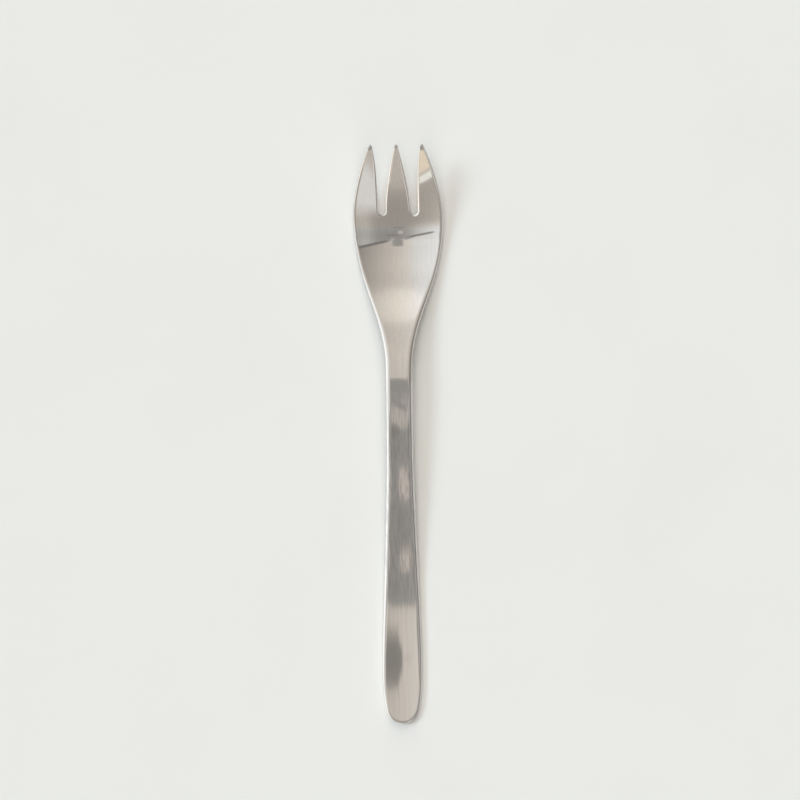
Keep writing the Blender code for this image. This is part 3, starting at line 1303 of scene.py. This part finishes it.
@dataclass(frozen=True)
class Dome:
    """The soft dome: what the steel mirrors, what lights the table, and the backdrop.

    Places on the dome are parts of the unit direction across and along the fork, from -1
    to 1. A stop is such a place and the level there.
    """

    backdrop: Colour = (0.82, 0.82, 0.79)
    cool: Colour = (0.985, 1.0, 1.015)
    warm: Colour = (1.07, 1.0, 0.925)
    warm_across: Band = (-0.34, -0.02)
    warm_along: Band = (-0.48, -0.30)
    warm_loss: float = 0.6
    parting: Band = (-0.154, -0.144)
    parting_level: Band = (-0.16, 0.06)
    parting_tilt: tuple[float, float] = (0.60, 0.45)
    parting_reach: float = 0.4
    fray: float = 0.024
    threads: float = 45.0
    side_across: Band = (-0.45, -0.02)
    side_along: Band = (-0.52, -0.25)
    swell_fade: Band = (0.38, 0.60)
    top_level: float = 4.0
    table_level: float = 1.035
    table_base: float = 0.12
    table_lean: float = 0.50
    table_peak: float = 2.20
    table_strip: Band = (0.10, 0.35)
    table_ahead: float = 0.75
    table_left: Colour = (1.02, 1.0, 0.965)
    table_right: Colour = (1.07, 1.0, 0.92)
    ahead: Stops = (
        (-1.0, 0.82), (-0.96, 1.05), (-0.90, 1.62), (-0.78, 1.66), (-0.45, 1.18),
        (-0.30, 1.08), (-0.14, 0.90), (0.0, 0.77), (0.15, 0.65), (0.34, 0.48),
        (0.50, 0.34), (0.64, 0.34), (0.76, 0.46), (0.90, 0.66), (1.0, 0.85),
    )
    behind: Stops = (
        (-1.0, 0.82), (-0.96, 1.05), (-0.90, 1.62), (-0.78, 1.66), (-0.60, 1.16),
        (-0.45, 0.66), (-0.28, 0.52), (-0.12, 0.46), (0.06, 0.45), (0.20, 0.475),
        (0.36, 0.65), (0.50, 0.30), (0.63, 0.30), (0.79, 0.75), (1.0, 0.92),
    )
    along: Stops = (
        (-1.0, 1.50), (-0.92, 1.52), (-0.86, 1.42), (-0.80, 1.12), (-0.70, 1.01), (-0.60, 1.0),
        (-0.36, 1.0), (-0.28, 0.92), (-0.17, 0.92), (-0.11, 0.99), (0.0, 0.98), (0.30, 1.03),
        (0.45, 1.00), (0.50, 1.09), (0.53, 1.28), (0.61, 1.38), (0.76, 1.02), (1.0, 0.60),
    )

    def level(self, bench: NodeBench, place: Socket, stops: Stops) -> Socket:
        """Work out the level along one axis, eased between stops.

        A place p lies at (1 + p) / 2 along the curve.

        Args:
            bench: Bench of the world.
            place: Place along the axis.
            stops: Stops along the axis, from -1 to 1.

        Returns:
            The level.
        """
        node = bench.add("ShaderNodeFloatCurve", {"Value": bench.line(place, 0.5, 0.5)})
        node.mapping.clip_max_y = self.top_level
        points = node.mapping.curves[0].points
        for stop, level in stops[1:-1]:
            points.new(0.5 + 0.5 * stop, level)
        points[0].location = (0.0, stops[0][1])
        points[-1].location = (1.0, stops[-1][1])
        node.mapping.update()
        return node.outputs["Value"]

    def ahead_share(self, bench: NodeBench, outlook: Socket) -> Socket:
        """Return 0 behind the parting of the dome and 1 ahead of it.

        The parting is level in the middle, tilts to both sides and is frayed by a noise
        across. On the left, the part ahead also reaches further back.

        Args:
            bench: Bench of the world.
            outlook: Direction on the dome.

        Returns:
            The share.
        """
        across, along = bench.split(outlook)
        held = bench.maths("MINIMUM", across, self.parting_reach)
        held = bench.maths("MAXIMUM", held, -self.parting_reach)
        left = bench.maths("MINIMUM", bench.maths("SUBTRACT", held, self.parting_level[0]), 0.0)
        right = bench.maths("MAXIMUM", bench.maths("SUBTRACT", held, self.parting_level[1]), 0.0)
        line = bench.line(left, -self.parting_tilt[0], along)
        line = bench.line(right, -self.parting_tilt[1], line)
        threads = bench.vectors("MULTIPLY", outlook, (self.threads, 0.0, 0.0))
        line = bench.maths("ADD", line, bench.fray(threads, self.fray))
        side = bench.rest(bench.ramp(across, self.side_across))
        side = bench.times(side, bench.ramp(along, self.side_along))
        return bench.maths("MAXIMUM", bench.ramp(line, self.parting), side)

    def mirrored(self, bench: NodeBench, outlook: Socket) -> Socket:
        """Return what the steel mirrors: bright on the left and ahead, dim on the right and behind.

        Args:
            bench: Bench of the world.
            outlook: Direction on the dome.

        Returns:
            The background.
        """
        across, along = bench.split(outlook)
        share = self.ahead_share(bench, outlook)
        behind = self.level(bench, across, self.behind)
        level = bench.between(share, behind, self.level(bench, across, self.ahead))
        swell = bench.maths("SUBTRACT", self.level(bench, along, self.along), 1.0)
        central = bench.rest(bench.ramp(bench.maths("ABSOLUTE", across), self.swell_fade))
        level = bench.times(level, bench.line(swell, central, 1.0))
        warm_behind = bench.line(bench.ramp(along, self.warm_along), -self.warm_loss, 1.0)
        warmth = bench.between(share, warm_behind, bench.ramp(across, self.warm_across))
        return bench.sky(bench.mix(warmth, self.cool, self.warm), level)

    def cast(self, bench: NodeBench, outlook: Socket) -> Socket:
        """Return what lights the table: a dim base that leans left and a bright strip overhead.

        Args:
            bench: Bench of the world.
            outlook: Direction on the dome.

        Returns:
            The background.
        """
        across, along = bench.split(outlook)
        base = bench.line(across, -self.table_lean * self.table_base, self.table_base)
        off = bench.ramp(bench.maths("ABSOLUTE", across), self.table_strip)
        strip = bench.line(off, -self.table_peak, self.table_peak)
        strip = bench.times(strip, bench.line(along, self.table_ahead, 1.0))
        level = bench.times(bench.maths("ADD", base, strip), self.table_level)
        tint = bench.mix(bench.line(across, 0.5, 0.5), self.table_left, self.table_right)
        return bench.sky(tint, level)

    def build(self) -> None:
        """Raise the dome."""
        world = bpy.data.worlds.new("soft_dome")
        world.use_nodes = True
        world.node_tree.nodes.clear()
        bpy.context.scene.world = world
        bench = NodeBench(world.node_tree)
        outlook = bench.coordinates("Generated")
        path = bench.add("ShaderNodeLightPath").outputs
        cast, mirrored = self.cast(bench, outlook), self.mirrored(bench, outlook)
        light = bench.swap(path["Is Glossy Ray"], cast, mirrored)
        shown = bench.swap(path["Is Camera Ray"], light, bench.sky(self.backdrop))
        bench.add("ShaderNodeOutputWorld", {"Surface": shown})


class Glow(Enum):
    """Radiance of the studio's cards."""

    DEEP = (0.25, 0.25, 0.25)
    DIM = (0.33, 0.325, 0.302)
    SOFT = (0.392, 0.383, 0.372)
    SHADE = (0.425, 0.415, 0.405)
    GREY = (0.455, 0.445, 0.437)
    VEIL = (0.65, 0.615, 0.585)
    LIGHT = (0.75, 0.685, 0.645)
    WHITE = (1.0, 1.0, 0.99)
    PALE = (1.20, 1.22, 1.15)
    WARM = (1.13, 0.995, 0.81)


@dataclass(frozen=True)
class StudioCard:
    """A flat card over the table that shows only in the steel's reflections."""

    name: str
    centre: tuple[float, float, float]
    half_size: tuple[float, float]
    radiance: Glow
    turn: float = 0.0
    softness: float = 0.12
    squareness: float = 5.0
    fray: float = 0.0
    fray_width: float = 0.012

    def build(self) -> None:
        """Hang the card."""
        corners = np.array(((-1.0, -1.0, 0.0), (1.0, -1.0, 0.0), (1.0, 1.0, 0.0), (-1.0, 1.0, 0.0)))
        card = put_flat(self.name, corners * (*self.half_size, 0.0), self.material())
        card.location = self.centre
        card.rotation_euler = (0.0, 0.0, self.turn)
        for ray in ("camera", "diffuse", "shadow", "transmission"):
            setattr(card, f"visible_{ray}", False)

    def material(self) -> bpy.types.Material:
        """Return the card's even glow, which thins out towards its rounded, frayed edge.

        The edge is the superellipse |x/a|^n + |y/b|^n = 1, with y pulled in and out by a
        noise that runs across the card.

        Returns:
            The material.
        """
        made, bench = new_material(self.name)
        made.node_tree.nodes.clear()
        place = bench.coordinates("Object")
        across, along = bench.split(bench.vectors("ABSOLUTE", place))
        across = bench.maths("DIVIDE", across, self.half_size[0])
        along = bench.maths("DIVIDE", along, self.half_size[1])
        threads = bench.vectors("DIVIDE", place, (self.fray_width, 1.0, 1.0))
        along = bench.maths("ADD", along, bench.fray(threads, self.fray))
        across = bench.maths("POWER", across, self.squareness)
        along = bench.maths("POWER", bench.maths("MAXIMUM", along, 0.0), self.squareness)
        ring = bench.maths("POWER", bench.maths("ADD", across, along), 1.0 / self.squareness)
        cover = bench.rest(bench.ramp(ring, (1.0 - self.softness, 1.0)))
        surface = bench.swap(cover, bench.see_through(), bench.glow(self.radiance.value))
        bench.add("ShaderNodeOutputMaterial", {"Surface": surface})
        return made


@dataclass
class Studio:
    """Table, light, cards and camera round the fork."""

    table: Table = field(default_factory=Table)
    dome: Dome = field(default_factory=Dome)
    key_from: tuple[float, float, float] = (-0.90, 0.26, 1.0)
    key_angle: float = math.radians(26.0)
    key_strength: float = 1.12
    key_colour: Colour = (0.85, 1.0, 1.13)
    bar_rise: float = 0.33
    camera_place: tuple[float, float, float] = (0.03495, 0.01028, 0.850)
    camera_target: tuple[float, float, float] = (-0.00005, 0.0106, 0.0)
    camera_roll: float = math.radians(-0.52)
    view_width: float = 0.2371
    sensor_width: float = 36.0

    def hang_key(self) -> None:
        """Hang the large soft key light, which reflections don't show."""
        light = bpy.data.lights.new("soft_key", "SUN")
        light.energy = self.key_strength
        light.angle = self.key_angle
        light.color = self.key_colour
        key = put("soft_key", light)
        key.rotation_mode = "QUATERNION"
        key.rotation_quaternion = Vector(self.key_from).to_track_quat("Z", "Y")
        key.visible_glossy = False

    def cards(self) -> list[StudioCard]:
        """Lay out the cards that give the steel its dark and light reflections.

        Returns:
            The cards.
        """
        slant = math.atan(self.bar_rise)
        return [
            StudioCard("overhead_flag", (-0.028, -0.015, 0.845), (0.064, 0.063), Glow.GREY,
                       softness=0.35, fray=0.5),
            StudioCard("middle_flag", (-0.028, -0.098, 0.846), (0.070, 0.045), Glow.VEIL),
            StudioCard("middle_bar", (-0.038, -0.080, 0.8425), (0.056, 0.012), Glow.SOFT, slant,
                       softness=0.6),
            StudioCard("left_bar", (-0.275, -0.157, 0.840), (0.190, 0.022), Glow.DIM, slant,
                       softness=0.40),
            StudioCard("right_bar", (0.247, 0.013, 0.840), (0.238, 0.022), Glow.DEEP, slant,
                       softness=0.35),
            StudioCard("bowl_flag", (-0.008, 0.0085, 0.25), (0.021, 0.0095), Glow.SHADE,
                       softness=0.4),
            StudioCard("near_flag", (0.024, -0.143, 0.845), (0.064, 0.0165), Glow.DIM,
                       squareness=2.6, fray=1.5, fray_width=0.020),
            StudioCard("rear_flag", (-0.035, -0.290, 0.850), (0.085, 0.032), Glow.SOFT,
                       softness=0.9, squareness=2.0),
            StudioCard("ceiling_gap", (-0.138, -0.550, 1.99), (0.078, 0.076), Glow.LIGHT,
                       softness=0.35, fray=0.6, fray_width=0.03),
            StudioCard("pale_card", (0.400, -1.470, 1.00), (0.370, 0.920), Glow.WHITE, softness=0.50),
            StudioCard("warm_card", (-0.420, -2.130, 1.00), (0.230, 0.440), Glow.WARM, softness=0.22),
            StudioCard("pale_strip", (-0.420, -1.590, 1.00), (0.230, 0.120), Glow.PALE, softness=0.50),
        ]

    def set_camera(self) -> None:
        """Set the camera over the table, aimed at the middle of the picture."""
        place = Vector(self.camera_place)
        reach = Vector(self.camera_target) - place
        lens = bpy.data.cameras.new("view")
        lens.sensor_width = self.sensor_width
        lens.lens = self.sensor_width * reach.length / self.view_width
        up = Vector((-math.sin(self.camera_roll), math.cos(self.camera_roll), 0.0))
        back = -reach.normalized()
        side = up.cross(back).normalized()
        axes = Matrix((side, back.cross(side), back)).transposed()
        camera = put("view", lens)
        camera.matrix_world = Matrix.Translation(place) @ axes.to_4x4()
        bpy.context.scene.camera = camera

    def build(self) -> None:
        """Set up the whole studio."""
        bpy.context.scene.view_settings.view_transform = "Standard"
        self.table.build()
        self.hang_key()
        self.dome.build()
        for card in self.cards():
            card.build()
            LOG.info("card %s", card.name)
        self.set_camera()


def main() -> None:
    """Build the fork, dress it and set up the studio."""
    logging.basicConfig(level=logging.INFO, format="%(name)s: %(message)s")
    plan = ForkPlan()
    body = ForkBody(plan, ForkProfile(plan))
    fork = body.build()
    grain = BrushedGrain()
    marks = HandlingMarks()
    finishes = {
        Finish.SATIN: SteelFinish("satin_steel", grain, marks),
        Finish.POLISHED: SteelFinish("polished_rim", grain, marks, roughness=0.050, streak_depth=0.0),
    }
    body.dress(fork, finishes)
    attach(fork, FORK_BODY)
    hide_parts(FORK_NODE)
    LOG.info("piece %s with %d faces", fork.name, len(fork.data.polygons))
    Studio().build()


if __name__ == "__main__":
    main()
